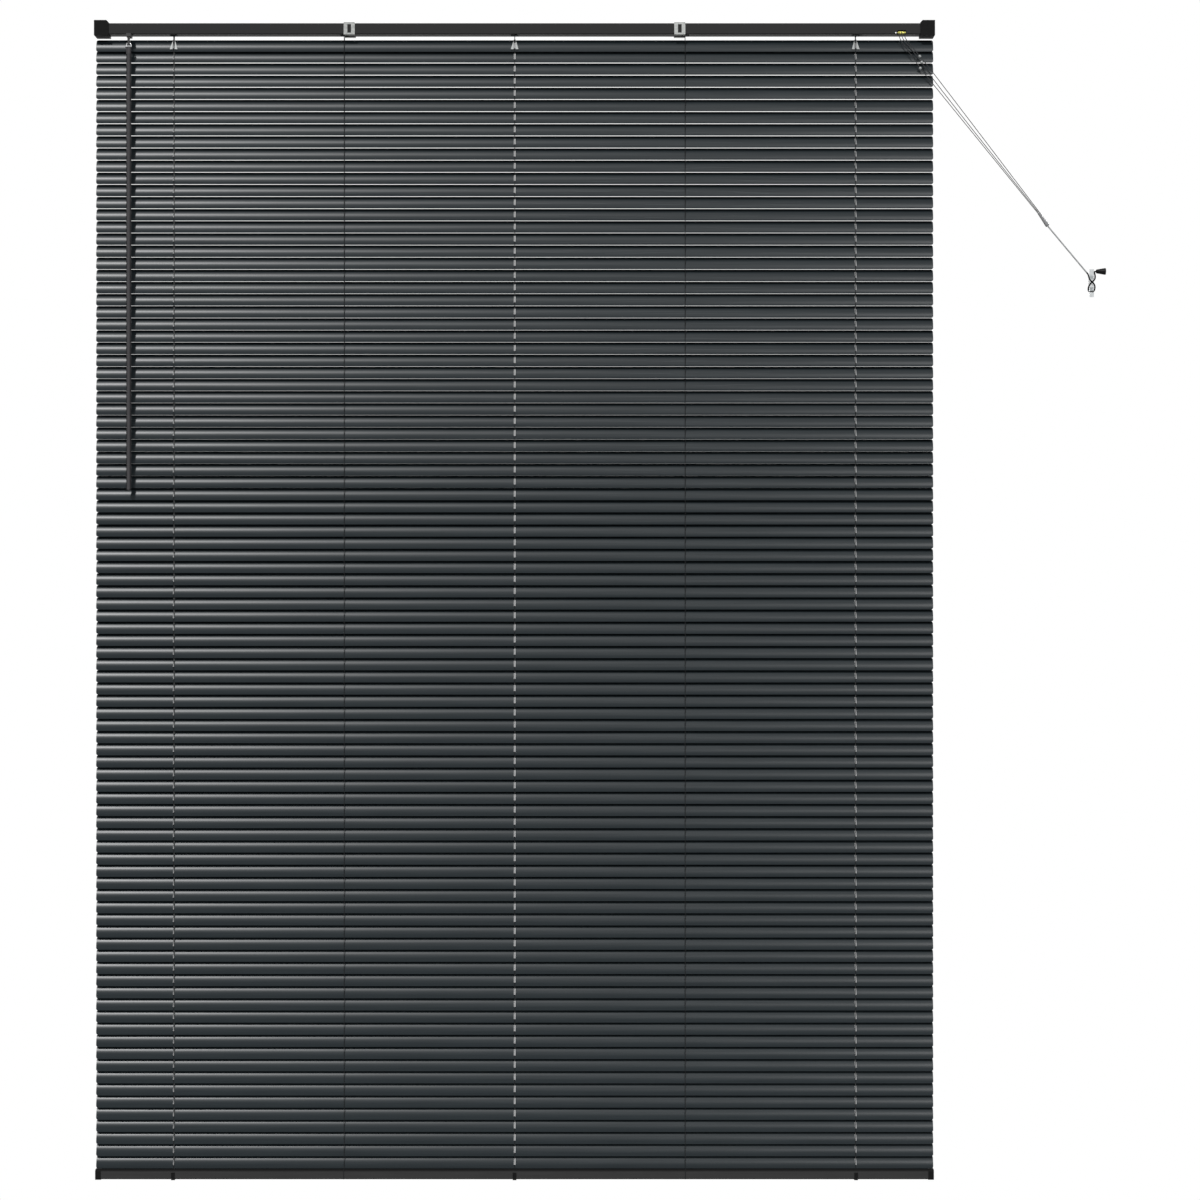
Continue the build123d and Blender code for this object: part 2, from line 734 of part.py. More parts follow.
joiner_length = (joiner_bottom - joiner_top).length
with BuildPart() as cord_joiner:
    with BuildSketch(Plane(joiner_top, x_dir=joiner_side, z_dir=joiner_way)):
        RegularPolygon(joiner_radius - joiner_taper, joiner_sides)
    extrude(amount=joiner_length, taper=-degrees(atan2(joiner_taper, joiner_length)))
save(cord_joiner, "cord_joiner")

# The figure of eight on the cleat, crossing twice in front and once behind the lower horn
cleat_side = cleat_width / 2 + pull_cord / 2 + seat_gap
cross_side = cleat_width / 2 + wrap_slack
cross_low = -(cleat_stand_off + cleat_bar + pull_cord / 2 + seat_gap + wrap_slack)
cross_high = cross_low - pull_cord - cord_gap
behind = -cleat_stand_off + 3 * pull_cord / 4
on_cleat = [
    (-cleat_side - 1, bar_y - 1, 17),
    (-cross_side, cross_low, 6),
    (cross_side, cross_low, -2),
    (cleat_side + 0.9, bar_y, -9),
    (cleat_side - 0.5, behind, -15.5),
    (-cleat_side + 0.5, behind, -15.5),
    (-cleat_side - 0.9, bar_y, -9),
    (-cross_side, cross_high, -2),
    (cross_side, cross_high, 6),
    (cleat_side + 0.4, cross_low, 13),
    (cleat_side - 1.2, cross_high + 1, 18),
    (cleat_side - 2, cross_high + 0.5, 21.8),
    (cleat_side + 1.5, cross_high + 0.5, 21.8),
]
winding = [(cleat_x + x, y, cleat_z + z) for x, y, z in on_cleat]
arrival = Vector(winding[0])
leaving = joiner_bottom + joiner_way * seat_gap
meeting = arrival - (arrival - leaving).normalized() * lead_in_length
cord("pull_cord_lower", [tuple(leaving), tuple(meeting)], pull_cord, [])
wound = cord("cleat_winding", [tuple(meeting)] + winding, pull_cord)
print("cleat_winding least gap between turns", round(least_gap(wound, pull_cord), 2))

# Tassel at the end of the cord
with BuildPart() as tassel:
    with BuildSketch(Plane(winding[-1], z_dir=(1, 0, 0))):
        RegularPolygon(tassel_small, tassel_sides)
    flare = degrees(atan2(tassel_large - tassel_small, tassel_length - tassel_lip))
    extrude(amount=tassel_length - tassel_lip, taper=-flare)
    with BuildSketch(Plane(Vector(winding[-1]) + Vector(tassel_length, 0, 0), z_dir=(-1, 0, 0))):
        RegularPolygon(tassel_large, tassel_sides)
    extrude(amount=tassel_lip)
save(tassel, "tassel")
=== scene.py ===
import math

import bmesh
import bpy
from mathutils import Matrix, Vector


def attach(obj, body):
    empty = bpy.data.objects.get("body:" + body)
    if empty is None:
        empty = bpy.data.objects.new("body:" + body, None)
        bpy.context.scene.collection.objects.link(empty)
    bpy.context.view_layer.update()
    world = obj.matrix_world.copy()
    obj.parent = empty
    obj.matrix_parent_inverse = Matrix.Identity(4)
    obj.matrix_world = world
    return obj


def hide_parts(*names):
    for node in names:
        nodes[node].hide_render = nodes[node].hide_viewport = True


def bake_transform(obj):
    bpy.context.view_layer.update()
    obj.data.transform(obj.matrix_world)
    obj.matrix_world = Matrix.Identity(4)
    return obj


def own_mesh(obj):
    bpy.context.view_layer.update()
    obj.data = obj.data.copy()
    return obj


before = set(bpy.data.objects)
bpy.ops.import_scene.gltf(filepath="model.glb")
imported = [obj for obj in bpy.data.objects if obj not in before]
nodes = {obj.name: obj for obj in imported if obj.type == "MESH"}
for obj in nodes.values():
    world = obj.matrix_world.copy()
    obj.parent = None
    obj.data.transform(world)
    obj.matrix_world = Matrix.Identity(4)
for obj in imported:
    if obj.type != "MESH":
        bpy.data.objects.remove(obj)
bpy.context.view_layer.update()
scene = bpy.context.scene
print("frame loaded:", len(nodes), "nodes")

# lengths in metres: X to the right, Y towards the wall, Z up
railY = -0.017  # middle of the headrail, slats and bottom rail


def linear(text):
    parts = [int(text[i : i + 2], 16) / 255 for i in (0, 2, 4)]
    return [p / 12.92 if p <= 0.04045 else ((p + 0.055) / 1.055) ** 2.4 for p in parts] + [1]


def addNode(tree, kind, settings, links):
    made = tree.nodes.new(kind)
    for key, value in settings.items():
        if key in made.inputs:
            made.inputs[key].default_value = value
        else:
            setattr(made, key, value)
    for key, output in links.items():
        tree.links.new(output, made.inputs[key])
    return made


rampEnds = (0.3, 0.7)  # pattern values that get the dark and the pale shade
wavePeriod = 0.628  # metres from band to band in a wave node of scale 1


def newFinish(name, dark, pale, settings):
    made = bpy.data.materials.new(name)
    made.use_nodes = True
    made.diffuse_color = linear(pale)
    tree = made.node_tree
    shader = tree.nodes["Principled BSDF"]
    for key, value in settings.items():
        shader.inputs[key].default_value = value
    ramp = addNode(tree, "ShaderNodeValToRGB", {}, {})
    for element, spot, shade in zip(ramp.color_ramp.elements, rampEnds, (dark, pale)):
        element.position = spot
        element.color = linear(shade)
    tree.links.new(ramp.outputs["Color"], shader.inputs["Base Color"])
    where = addNode(tree, "ShaderNodeTexCoord", {}, {})
    return made, tree, shader, ramp, where


def grainFinish(name, dark, pale, rough, grain, relief, stretch, settings):
    made, tree, shader, ramp, where = newFinish(name, dark, pale, settings)
    laid = addNode(tree, "ShaderNodeMapping", {"Scale": stretch}, {"Vector": where.outputs["Object"]})
    speck = addNode(tree, "ShaderNodeTexNoise", {"Scale": 1 / grain, "Detail": 4.0},
                    {"Vector": laid.outputs[0]})
    tree.links.new(speck.outputs["Fac"], ramp.inputs["Fac"])
    gloss = addNode(tree, "ShaderNodeMapRange", {"To Min": rough[0], "To Max": rough[1]},
                    {"Value": speck.outputs["Fac"]})
    tree.links.new(gloss.outputs["Result"], shader.inputs["Roughness"])
    bump = addNode(tree, "ShaderNodeBump", {"Strength": relief, "Distance": grain / 4},
                   {"Height": speck.outputs["Fac"]})
    tree.links.new(bump.outputs["Normal"], shader.inputs["Normal"])
    return made


def twistFinish(name, dark, pale, twist, settings):
    made, tree, shader, ramp, where = newFinish(name, dark, pale, settings)
    lay = {"bands_direction": "DIAGONAL", "Scale": wavePeriod / twist, "Distortion": 1.0, "Detail": 2.0}
    strands = addNode(tree, "ShaderNodeTexWave", lay, {"Vector": where.outputs["Object"]})
    tree.links.new(strands.outputs["Fac"], ramp.inputs["Fac"])
    bump = addNode(tree, "ShaderNodeBump", {"Strength": 0.6, "Distance": twist / 6},
                   {"Height": strands.outputs["Fac"]})
    tree.links.new(bump.outputs["Normal"], shader.inputs["Normal"])
    return made


# a shade of its own up to begin, and the pattern's shades from end on, along one axis
def fadeFinish(made, axis, begin, end, shade):
    tree = made.node_tree
    where = addNode(tree, "ShaderNodeTexCoord", {}, {})
    parts = addNode(tree, "ShaderNodeSeparateXYZ", {}, {"Vector": where.outputs["Object"]})
    reached = addNode(tree, "ShaderNodeMapRange", {"From Min": begin, "From Max": end},
                      {"Value": parts.outputs[axis]})
    factor, first, second, result = 0, 6, 7, 2  # sockets of a colour mix
    mixed = addNode(tree, "ShaderNodeMix", {"data_type": "RGBA"},
                    {factor: reached.outputs["Result"], second: tree.nodes["Color Ramp"].outputs["Color"]})
    mixed.inputs[first].default_value = linear(shade)
    tree.links.new(mixed.outputs[result], tree.nodes["Principled BSDF"].inputs["Base Color"])


even = (1, 1, 1)
along = (0.03, 1, 1)  # streaks that follow the rolling direction
upright = (1, 1, 0.03)  # streaks down the wand
# in turn: name, dark and pale shade, roughness range, grain in metres, relief, stretch, shader settings
# stove enamel on rolled aluminium: satin, with a clean bright line where the bow catches the light
slatEnamel = grainFinish("stoveEnamelOnAluminium", "191f22", "1e2427", (0.25, 0.29), 0.004, 0.02, along,
                         {"Specular IOR Level": 0.15})
# powder coat on steel: nearly matt black grey, a fine even skin
railCoat = grainFinish("powderCoatOnSteel", "161616", "1a1a1a", (0.5, 0.6), 0.0025, 0.06, along,
                       {"Specular IOR Level": 0.15})
# matt coat on the bottom rail: no sheen that would light up its top, and a painted shade that makes its top
# darker than the front
bottomCoatWithPaintedShade = grainFinish("mattCoatOnSteelWithPaintedShade", "2f2f2f", "343434", (0.6, 0.7), 0.0025, 0.06, along,
                         {"Specular IOR Level": 0.0})
# painted shade: the coat turns to a darker grey along the top edge of the bottom rail
fadeFinish(bottomCoatWithPaintedShade, axis="Z", begin=-2.1735, end=-2.1757, shade="1e1e1e")
# moulded black ABS with a spark-eroded grain, drawn 3 mm coarse so that it shows
capPlastic = grainFinish("grainedBlackAbs", "050505", "111111", (0.55, 0.8), 0.003, 0.6, even,
                         {"Specular IOR Level": 0.08})
# zinc on pressed steel: light grey, dull, with a faint spangle about 4 mm across
zinc = grainFinish("zincPlatedSteel", "737574", "858684", (0.35, 0.5), 0.004, 0.08, even, {"Metallic": 1.0})
# acetal, dull and self-coloured, for the turning and sliding parts in the headrail
acetal = grainFinish("blackAcetal", "141415", "1b1b1c", (0.4, 0.5), 0.0015, 0.1, even,
                     {"Specular IOR Level": 0.4})
# smoked styrene, extruded: glossy flats with drawing lines along the length
wandStyrene = grainFinish("smokedStyrene", "2a292b", "333234", (0.22, 0.3), 0.002, 0.05, upright,
                          {"Specular IOR Level": 0.4})
# moulded pale grey nylon, soft sheen
clipNylon = grainFinish("greyNylon", "828584", "969998", (0.4, 0.5), 0.0012, 0.15, even, {})
# moulded mid grey ABS of the joiner, soft sheen
joinerPlastic = grainFinish("greyAbs", "6e6f71", "808183", (0.35, 0.45), 0.0015, 0.1, even, {})
# moulded black ABS of the tassel, a little glossier than the caps
tasselPlastic = grainFinish("blackAbs", "050505", "0b0b0b", (0.4, 0.5), 0.0015, 0.1, even,
                            {"Specular IOR Level": 0.12})
# turned brass, bright where the cords rub
brass = grainFinish("turnedBrass", "9d9a3c", "d8d07a", (0.25, 0.4), 0.0012, 0.1, even, {"Metallic": 1.0})
# drawn steel wire, bright
steelWire = grainFinish("brightSteelWire", "d4d5d6", "e6e7e8", (0.18, 0.28), 0.002, 0.05, even,
                        {"Metallic": 1.0})
# clear moulded acrylic: shows what is behind it, grey only along its edges
acrylic = grainFinish("clearAcrylic", "c2c6c7", "d0d3d4", (0.06, 0.12), 0.004, 0.03, even,
                      {"Transmission Weight": 1.0, "IOR": 1.49})
# braided polyester cords and strings, the twist drawn at about 2 mm so that it shows
fibre = {"Roughness": 0.85, "Specular IOR Level": 0.25}
stringBraid = twistFinish("blackPolyesterString", "0a0b0c", "17181a", 0.0016, fibre)
liftBraid = twistFinish("greyPolyesterCord", "5e6060", "7c7e7e", 0.002, fibre)
pullBraid = twistFinish("darkGreyPolyesterCord", "2a2b2c", "3c3d3e", 0.002, fibre)
lowerBraid = twistFinish("palePolyesterCord", "8b8d8e", "a8aaab", 0.002, fibre)
dullFibre = {"Roughness": 0.9, "Specular IOR Level": 0.05}
woundBraid = twistFinish("blackPolyesterCord", "030304", "0b0b0c", 0.0026, dullFibre)
# the wound cord is worn grey on its way to the cleat, and black where it lies on it
fadeFinish(woundBraid, axis="X", begin=1.0905, end=1.0925, shade="9a9c9d")
print("finishes made")

# camera square to the blind, level with its middle; the picture is frameWidth across at the plane
view = {
    "x": 0.16265,
    "y": -5.12,
    "z": -1.08736,
    "plane": -0.031,
    "frameWidth": 2.2828,
    "sensor": 36,
    "clipEnd": 50,
}
camera = bpy.data.objects.new("camera", bpy.data.cameras.new("camera"))
camera.location = (view["x"], view["y"], view["z"])
camera.rotation_euler = (math.pi / 2, 0, 0)
camera.data.sensor_width = view["sensor"]
camera.data.lens = view["sensor"] * (view["plane"] - view["y"]) / view["frameWidth"]
camera.data.clip_end = view["clipEnd"]
scene.collection.objects.link(camera)
scene.camera = camera


def place(obj, body, slot, *replaced):
    scene.collection.objects.link(obj)
    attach(obj, body)
    if replaced:
        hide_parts(*replaced)


def roundCurve(name, points, diameter, finish):
    curve = bpy.data.curves.new(name, "CURVE")
    curve.dimensions = "3D"
    line = curve.splines.new("NURBS")
    line.points.add(len(points) - 1)
    for spot, where in zip(line.points, points):
        spot.co = (*where, 1)
    line.order_u = 3
    line.use_endpoint_u = True
    line.resolution_u = 12
    curve.bevel_depth = diameter / 2
    curve.bevel_resolution = 3
    curve.use_fill_caps = True
    curve.materials.append(finish)
    return bpy.data.objects.new(name, curve)


# edges that turn by the sharp angle, in degrees, or more stay sharp
def meshPiece(name, bm, finish, sharp=40):
    bmesh.ops.recalc_face_normals(bm, faces=bm.faces)
    for face in bm.faces:
        face.smooth = True
    for edge in bm.edges:
        edge.smooth = edge.calc_face_angle(0) < math.radians(sharp)
    mesh = bpy.data.meshes.new(name)
    bm.to_mesh(mesh)
    bm.free()
    mesh.materials.append(finish)
    return bpy.data.objects.new(name, mesh)


def spunPiece(name, profile, origin, way, finish, steps=32, closed=False):
    bm = bmesh.new()
    way = Vector(way).normalized()
    across = way.orthogonal().normalized()
    spots = [bm.verts.new(Vector(origin) + way * far + across * radius) for far, radius in profile]
    pairs = list(zip(spots, spots[1:])) + ([(spots[-1], spots[0])] if closed else [])
    edges = [bm.edges.new(pair) for pair in pairs]
    bmesh.ops.spin(bm, geom=spots + edges, cent=origin, axis=way, angle=2 * math.pi, steps=steps,
                   use_merge=True)
    bmesh.ops.remove_doubles(bm, verts=bm.verts, dist=1e-6)
    return meshPiece(name, bm, finish)


# pulled cords: over the lock's roller, down, through a bead and on to the joiner
pulledCord = {
    "diameter": 0.0014,
    "lengths": (0.446, 0.4424, 0.4393),
    "ends": ("object", "fitting", "object"),
    "routes": (
        ((0.7318, -0.02, -0.0025), (0.7318, -0.028, -0.0025), (0.7318, -0.028, -0.0165),
         (0.73966, -0.028, -0.02808), (0.7688, -0.028, -0.071), (0.81064, -0.02592, -0.12184),
         (0.99754, -0.01661, -0.34893)),
        ((0.737, -0.02, -0.0025), (0.737, -0.028, -0.0025), (0.737, -0.028, -0.0165),
         (0.74578, -0.028, -0.0274), (0.7717, -0.028, -0.0596), (0.8012, -0.02628, -0.1032),
         (0.99893, -0.01661, -0.34796)),
        ((0.7422, -0.02, -0.0025), (0.7422, -0.028, -0.0025), (0.7422, -0.028, -0.0165),
         (0.75077, -0.028, -0.02707), (0.7679, -0.028, -0.0482), (0.7962, -0.02677, -0.0816),
         (1.00032, -0.01661, -0.34698)),
    ),
}
bead = {
    "radius": 0.0028,
    "length": 0.005,
    "bore": 0.001,
    "follows": 4,  # the point of the cord's route that it hangs below
    "lead": 0.0055,
    "rim": 0.6,  # share of the radius
    "shoulder": (0.6, 0.92),  # shares of half the length and of the radius
    "steps": 24,
}
joiner = {
    "top": (0.9991, -0.0166, -0.3482),
    "bottom": (1.0172, -0.0151, -0.3739),
    "neck": 0.0028,
    "neckRim": 0.75,  # share of the neck
    "neckEdge": 0.0007,
    "waist": (0.4, 1.12),  # shares of the length and of the neck
    "swell": (0.85, 0.98),  # shares of the length and of the mouth
    "mouth": 0.0039,
    "mouthRim": 0.8,  # share of the mouth
    "mouthEdge": 0.001,
}

strands = []
for number, route in enumerate(pulledCord["routes"], 1):
    strand = roundCurve(f"pulledCord{number}", route, pulledCord["diameter"], pullBraid)
    place(strand, "headrail", "grey_cord", f"pull_cord_{number}")
    strands.append(strand)
    bend = Vector(route[bead["follows"]])
    way = (Vector(route[-1]) - bend).normalized()
    middle = bend + way * bead["lead"]
    half, radius, bore = bead["length"] / 2, bead["radius"], bead["bore"]
    rim = bead["rim"] * radius
    out, shoulder = bead["shoulder"][0] * half, bead["shoulder"][1] * radius
    profile = [(-half, bore), (-half, rim), (-out, shoulder), (0, radius),
               (out, shoulder), (half, rim), (half, bore)]
    piece = spunPiece(f"cordBead{number}", profile, middle, way, clipNylon, bead["steps"], closed=True)
    place(piece, "headrail", "grey_plastic", "cord_stops")
joinerWay = Vector(joiner["bottom"]) - Vector(joiner["top"])
reach, neck, mouth = joinerWay.length, joiner["neck"], joiner["mouth"]
waist, swell = joiner["waist"], joiner["swell"]
profile = [(0, 0), (0, joiner["neckRim"] * neck), (joiner["neckEdge"], neck),
           (waist[0] * reach, waist[1] * neck), (swell[0] * reach, swell[1] * mouth),
           (reach - joiner["mouthEdge"], mouth), (reach, joiner["mouthRim"] * mouth), (reach, 0)]
joinerPiece = spunPiece("cordJoiner", profile, joiner["top"], joinerWay, joinerPlastic)
place(joinerPiece, "headrail", "dark_plastic", "cord_joiner")
for number, strand in enumerate(strands):
    ends = pulledCord["ends"][number]

lowerCord = {
    "diameter": 0.0028,
    "length": 0.0999,
    "route": (
        (1.01737, -0.01509, -0.37414), (1.04958, -0.01431, -0.41248), (1.0818, -0.01293, -0.45042),
    ),
}
piece = roundCurve("lowerCord", lowerCord["route"], lowerCord["diameter"], lowerBraid)
place(piece, "headrail", "grey_cord", "pull_cord_lower")

# the figure of eight on the cleat, and the tassel that ends it
woundCord = {
    "diameter": 0.0028,
    "length": 0.1177,
    "route": (
        (1.0818, -0.01293, -0.45042), (1.0918, -0.0126, -0.4623), (1.0949, -0.0125, -0.466),
        (1.0966, -0.0165, -0.4767), (1.1062, -0.0165, -0.4847), (1.108, -0.0115, -0.4917),
        (1.1066, -0.0069, -0.4982), (1.0962, -0.0069, -0.4982), (1.0948, -0.0115, -0.4917),
        (1.0966, -0.0198, -0.4847), (1.1062, -0.0198, -0.4767), (1.1075, -0.0165, -0.4697),
        (1.1059, -0.0188, -0.4647), (1.1051, -0.0193, -0.4609), (1.1086, -0.0193, -0.4609),
    ),
}
tassel = {
    "way": (1, 0, 0),
    "small": 0.00365,
    "smallRim": 0.85,  # share of the small radius
    "smallEdge": 0.0005,
    "large": 0.00635,
    "lip": 0.002,
    "lipRim": 0.95,  # this, the mouth and the floor are shares of the large radius
    "lipEdge": 0.0004,
    "mouth": 0.7,
    "floor": 0.6,
    "length": 0.018,
    "hollow": 0.004,
    "steps": 40,
}
wound = roundCurve("woundCord", woundCord["route"], woundCord["diameter"], woundBraid)
place(wound, "headrail", "black_cord", "cleat_winding")
large, small, tall = tassel["large"], tassel["small"], tassel["length"]
deep = tall - tassel["hollow"]
profile = [(0, 0), (0, tassel["smallRim"] * small), (tassel["smallEdge"], small),
           (tall - tassel["lip"], large), (tall - tassel["lipEdge"], large), (tall, tassel["lipRim"] * large),
           (tall, tassel["mouth"] * large), (deep, tassel["floor"] * large), (deep, 0)]
end = woundCord["route"][-1]
piece = spunPiece("cordTassel", profile, end, tassel["way"], tasselPlastic, tassel["steps"])
place(piece, "headrail", "black_plastic", "tassel")
print("pulled cords made")

# one slat, a bowed strip with rounded corners and a slot for each lift cord, then all of them
slat = {
    "count": 93,
    "pitch": 0.023165,
    "topPitch": 0.0209,
    "firstDrop": 0.03,
    "length": 1.596,
    "chord": 0.025,
    "crown": 0.002,
    "thickness": 0.00021,
    "tilt": 70,  # degrees, front edge down
    "corner": 0.004,
    "slotLength": 0.012,
    "slotWidth": 0.0026,
    "perNode": 12,
    "travel": 1.88,
    # rows of vertices as shares of half the chord, finer at the edges
    "rowShares": (0, 0.24, 0.48, 0.62, 0.76, 0.86, 0.93, 0.975, 1),
}
liftPlaces = (0.65, 0.0, -0.65)
halfChord = slat["chord"] / 2
rows = [-r * halfChord for r in slat["rowShares"][:0:-1]] + [r * halfChord for r in slat["rowShares"]]
slotSides = sorted(x + side * slat["slotWidth"] / 2 for x in liftPlaces for side in (-1, 1))
lean = math.radians(slat["tilt"])
chordWay = Vector((0, math.cos(lean), math.sin(lean)))
crownWay = Vector((0, -math.sin(lean), math.cos(lean)))
bow = (halfChord**2 + slat["crown"] ** 2) / (2 * slat["crown"])

bm = bmesh.new()
gridHalf = 0.5  # the grid is one metre square, and each vertex then goes to its column and row
bmesh.ops.create_grid(bm, x_segments=len(slotSides) + 1, y_segments=len(rows) - 1, size=gridHalf)
for vert in bm.verts:
    across = rows[round((vert.co.y + gridHalf) * (len(rows) - 1))]
    past = max(abs(across) - (halfChord - slat["corner"]), 0)
    inset = slat["corner"] - math.sqrt(max(slat["corner"] ** 2 - past**2, 0))
    end = slat["length"] / 2 - inset
    columns = [-end] + slotSides + [end]
    vert.co = (columns[round((vert.co.x + gridHalf) * (len(columns) - 1))], across, 0)
cut = []
for face in bm.faces:
    middle = face.calc_center_median()
    inSlot = min(abs(middle.x - x) for x in liftPlaces) < slat["slotWidth"] / 2
    if inSlot and abs(middle.y) < slat["slotLength"] / 2:
        cut.append(face)
bmesh.ops.delete(bm, geom=cut, context="FACES")
for vert in bm.verts:
    rise = math.sqrt(bow**2 - vert.co.y**2) - bow + slat["crown"] / 2
    vert.co = Vector((vert.co.x, railY, 0)) + chordWay * vert.co.y + crownWay * rise
bmesh.ops.recalc_face_normals(bm, faces=bm.faces)
if sum(face.normal.dot(crownWay) for face in bm.faces) < 0:
    bmesh.ops.reverse_faces(bm, faces=bm.faces)
bmesh.ops.solidify(bm, geom=bm.faces[:], thickness=slat["thickness"])
pattern = meshPiece("slatPattern", bm, slatEnamel)

drops = [0] + [slat["topPitch"] + slat["pitch"] * i for i in range(slat["count"] - 1)]
for number, drop in enumerate(drops):
    mesh = pattern.data.copy()
    mesh.transform(Matrix.Translation((0, 0, -slat["firstDrop"] - drop)))
    piece = bpy.data.objects.new(f"slat{number + 1:02d}", mesh)
    scene.collection.objects.link(piece)
    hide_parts(f"slats_{number // slat['perNode'] + 1}")
    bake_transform(piece)
bpy.data.objects.remove(pattern)
print("slats made:", len(drops))


rodSharp = 80  # degrees; only the ends of a rod stay sharp


# a rod down a few points, its ring kept level
def addRod(bm, points, radius, sides):
    points = [Vector(p) for p in points]
    start = Matrix.Translation(points[0])
    ring = bmesh.ops.create_circle(bm, segments=sides, radius=radius, matrix=start)["verts"]
    edges = list(dict.fromkeys(edge for vert in ring for edge in vert.link_edges))  # each once, in order
    bmesh.ops.edgeloop_fill(bm, edges=edges)
    for here, there in zip(points, points[1:]):
        grown = bmesh.ops.extrude_edge_only(bm, edges=edges)["geom"]
        ring = [g for g in grown if isinstance(g, bmesh.types.BMVert)]
        edges = [g for g in grown if isinstance(g, bmesh.types.BMEdge) and set(g.verts) <= set(ring)]
        bmesh.ops.translate(bm, vec=there - here, verts=ring)
    bmesh.ops.edgeloop_fill(bm, edges=edges)


# string ladders: a string in front, one behind, and a rung under each slat
# the tails in the headrail are one piece, and the rest of the ladder another
ladder = {
    "places": (-0.65, -0.325, 0.0, 0.325, 0.65),
    "string": 0.001,
    "sides": 8,
    "rung": 0.0007,
    "rungSides": 6,
    "top": 0.0015,
    "drum": 0.0083,
    "railBottom": -0.0105,
    "firstEdge": -0.0175,
    "front": -0.004136,
    "back": 0.006212,
    "bottom": -2.172203,
    "rungFront": -0.0156,
    "rungBack": 0.0109,
}
for number, x in enumerate(ladder["places"], 1):
    bm = bmesh.new()
    for drum in (-ladder["drum"], ladder["drum"]):
        route = ((drum, ladder["top"]), (drum, ladder["railBottom"]))
        addRod(bm, [(x, railY + y, z) for y, z in route], ladder["string"] / 2, ladder["sides"])
    piece = meshPiece(f"ladderTails{number}", bm, stringBraid, rodSharp)
    place(piece, "headrail", "black_string", f"ladder_{number}")
    bm = bmesh.new()
    for drum, edge in ((-ladder["drum"], ladder["front"]), (ladder["drum"], ladder["back"])):
        route = ((drum, ladder["railBottom"]), (edge, ladder["firstEdge"]), (edge, ladder["bottom"]))
        addRod(bm, [(x, railY + y, z) for y, z in route], ladder["string"] / 2, ladder["sides"])
    for drop in drops:
        height = -slat["firstDrop"] - drop
        route = ((ladder["front"], ladder["rungFront"]), (ladder["back"], ladder["rungBack"]))
        points = [(x, railY + y, height + z) for y, z in route]
        addRod(bm, points, ladder["rung"] / 2, ladder["rungSides"])
    piece = meshPiece(f"stringLadder{number}", bm, stringBraid, rodSharp)
    place(piece, "headrail", "black_string", f"ladder_{number}")
    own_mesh(piece)

# where no lift cord comes down, the ladder's front string is seen on the bottom rail's face
stringEnd = {
    "places": (-0.325, 0.325),
    "route": (
        (-0.0211, -2.1716), (-0.0265, -2.1713), (-0.0304, -2.1713), (-0.0304, -2.1752), (-0.0304, -2.1897),
    ),
}
for number, x in enumerate(stringEnd["places"], 1):
    route = [(x, y, z) for y, z in stringEnd["route"]]
    piece = roundCurve(f"stringEnd{number}", route, ladder["string"], stringBraid)
    place(piece, "bottom_rail", "black_string")

# lift cords: down through the slats, and along the headrail to the lock
liftCord = {
    "diameter": 0.0014,
    "sides": 12,
    "top": -0.0135,
    "runHeight": -0.0089,
    "runStep": 0.003,
    "lock": 0.719,
    "bend": 0.024,
}
for number, x in enumerate(liftPlaces, 1):
    bm = bmesh.new()
    ends = ((x, railY, liftCord["top"]), (x, railY, ladder["bottom"]))
    addRod(bm, ends, liftCord["diameter"] / 2, liftCord["sides"])
    piece = meshPiece(f"liftCord{number}", bm, liftBraid, rodSharp)
    place(piece, "headrail", "grey_cord", f"lift_cord_{number}")
    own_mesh(piece)
    runY = railY + liftCord["runStep"] * (number - 1)
    route = [(liftCord["lock"], runY, liftCord["runHeight"])]
    if number > 1:
        route.append((x + 2 * liftCord["bend"], runY, liftCord["runHeight"]))
        route.append((x + liftCord["bend"], railY, liftCord["runHeight"]))
    route += [(x, railY, liftCord["runHeight"]), (x, railY, liftCord["top"])]
    piece = roundCurve(f"liftCordRun{number}", route, liftCord["diameter"], liftBraid)
    place(piece, "headrail", "grey_cord", f"lift_cord_run_{number}")

# wire bail between the stem and the wand
bail = {"x": -0.733, "y": -0.0356, "eye": -0.028, "foot": -0.036, "half": 0.0046, "wire": 0.0016}
left, right = bail["x"] - bail["half"], bail["x"] + bail["half"]
route = ((left, bail["y"], bail["foot"]), (left, bail["y"], bail["eye"]), (right, bail["y"], bail["eye"]),
         (right, bail["y"], bail["foot"]))
piece = roundCurve("wandBail", route, bail["wire"], steelWire)
place(piece, "wand", "bright_steel", "wand_bail")
print("ladders, lift cords and bail made")

# finishes of the pieces that come from the solids
wears = (
    (railCoat, ("headrail",)),
    (bottomCoatWithPaintedShade, ("bottom_rail",)),
    (capPlastic, ("end_cap_left", "end_cap_right", "bottom_cap_left", "bottom_cap_right", "cord_plugs")),
    (zinc, ("mounting_bracket_left", "mounting_bracket_right", "tilt_rod")),
    (acetal, ("tilter_housing", "tilter_stem", "tilt_hub", "cord_lock", "ladder_drum_", "drum_cradle_")),
    (wandStyrene, ("wand",)),
    (steelWire, ("lock_rivet",)),
    (clipNylon, ("slat_clips",)),
    (brass, ("lock_roller", "lock_pawl")),
    (acrylic, ("cleat",)),
)
for finish, names in wears:
    for name, obj in nodes.items():
        if name in names or name.rstrip("12345") in names:  # numbered nodes go by their stem
            obj.data.materials.clear()
            obj.data.materials.append(finish)
print("finishes given to the solids")

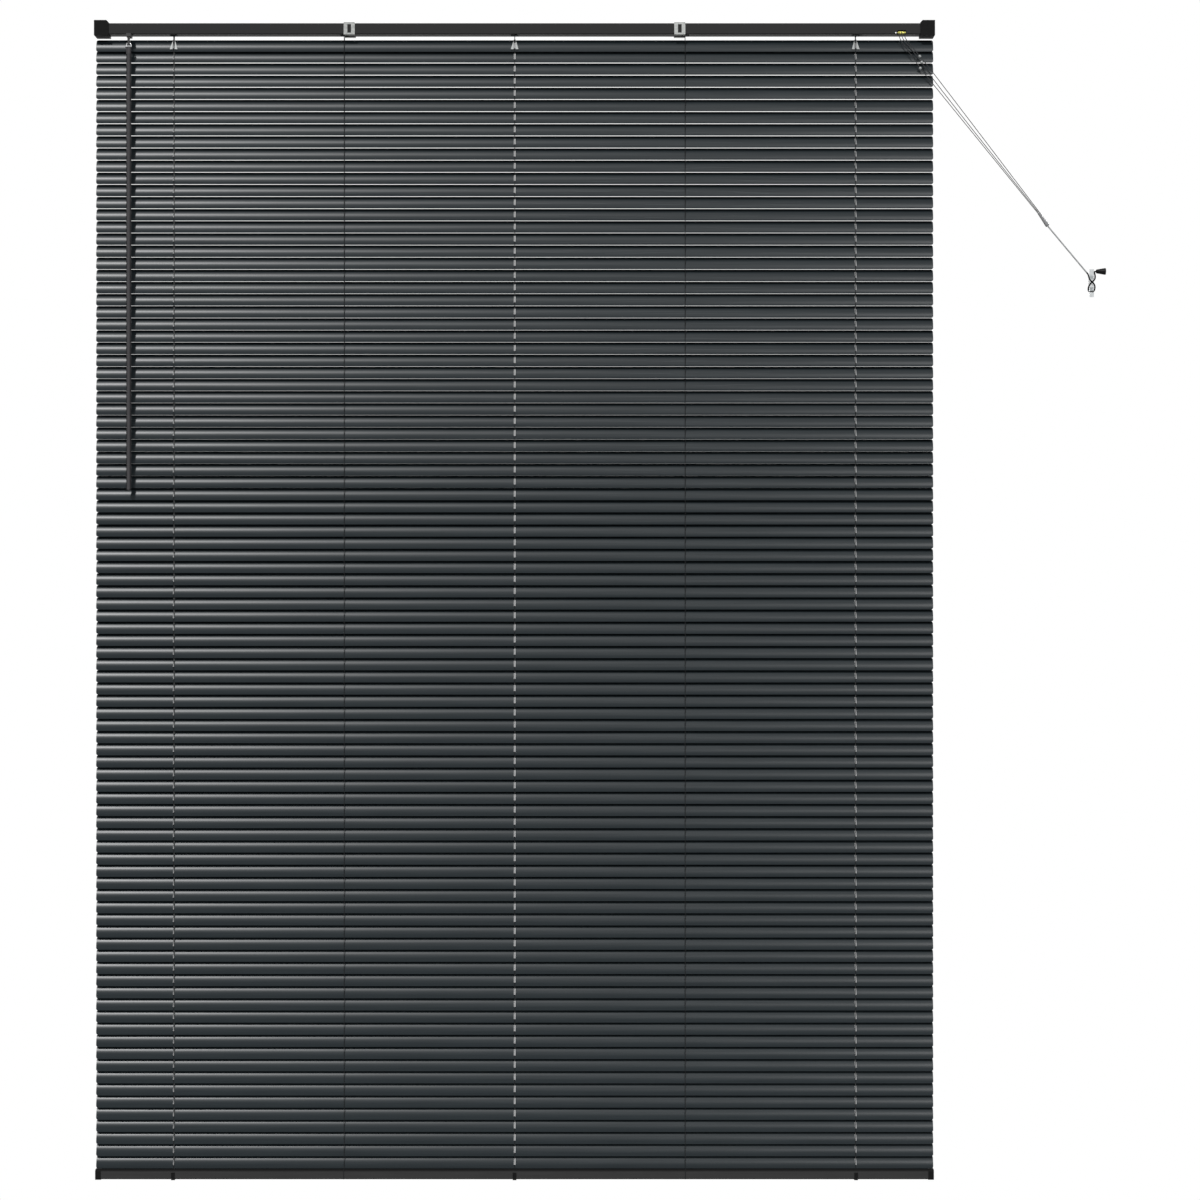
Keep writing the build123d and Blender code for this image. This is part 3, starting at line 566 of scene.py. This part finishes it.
# light: a key from the upper left, a softer fill from the right and one from behind
# strength, then softness, side (to the right of the camera) and rise in degrees
lampFar = 5
lamps = {
    "keyLight": {"strength": 2.7, "soft": 3, "side": -18, "rise": 44},
    "fillLight": {"strength": 1.35, "soft": 8, "side": 16, "rise": 26},
    "backLight": {"strength": 2.4, "soft": 16, "side": 150, "rise": 18},
}
studio = []
for name, lamp in lamps.items():
    sun = bpy.data.lights.new(name, "SUN")
    sun.energy = lamp["strength"]
    sun.angle = math.radians(lamp["soft"])
    obj = bpy.data.objects.new(name, sun)
    side, rise = math.radians(lamp["side"]), math.radians(lamp["rise"])
    toLamp = Vector((math.sin(side) * math.cos(rise), -math.cos(side) * math.cos(rise), math.sin(rise)))
    obj.location = toLamp * lampFar
    obj.rotation_euler = (-toLamp).to_track_quat("-Z", "Y").to_euler()
    studio.append(obj)

# the floor lies below what the main view takes in
floorPlate = {"halfWidth": 5, "halfDepth": 3.2, "x": 0.16, "z": -3}
bm = bmesh.new()
bmesh.ops.create_grid(bm, x_segments=1, y_segments=1, size=1)
bmesh.ops.scale(bm, vec=(floorPlate["halfWidth"], floorPlate["halfDepth"], 1), verts=bm.verts)
bmesh.ops.translate(bm, vec=(floorPlate["x"], 0, floorPlate["z"]), verts=bm.verts)
# pale painted floor, matt and even
floorPaint = grainFinish("paleFloorPaint", "d2d2d2", "d8d8d8", (0.7, 0.8), 0.02, 0.05, even, {})
floor = meshPiece("floor", bm, floorPaint)
for obj in studio + [floor]:
    scene.collection.objects.link(obj)

# the room: white to the camera, in reflections and through the clear cleat, and dim as a light
world = bpy.data.worlds.new("studio")
world.use_nodes = True
scene.world = world
tree = world.node_tree
tree.nodes.clear()
path = addNode(tree, "ShaderNodeLightPath", {}, {})
glossy = addNode(tree, "ShaderNodeMath", {"operation": "MAXIMUM"},
                 {0: path.outputs["Is Camera Ray"], 1: path.outputs["Is Glossy Ray"]})
seen = addNode(tree, "ShaderNodeMath", {"operation": "MAXIMUM"},
               {0: glossy.outputs[0], 1: path.outputs["Is Transmission Ray"]})
ambient = 0.06  # what the surfaces get from the room, little, so that the gaps stay dark
level = addNode(tree, "ShaderNodeMapRange", {"To Min": ambient, "To Max": 1.0},
                {"Value": seen.outputs[0]})
sky = addNode(tree, "ShaderNodeBackground", {"Color": (1, 1, 1, 1)},
              {"Strength": level.outputs["Result"]})
addNode(tree, "ShaderNodeOutputWorld", {}, {"Surface": sky.outputs[0]})
scene.view_settings.view_transform = "Standard"
print("stage lit")
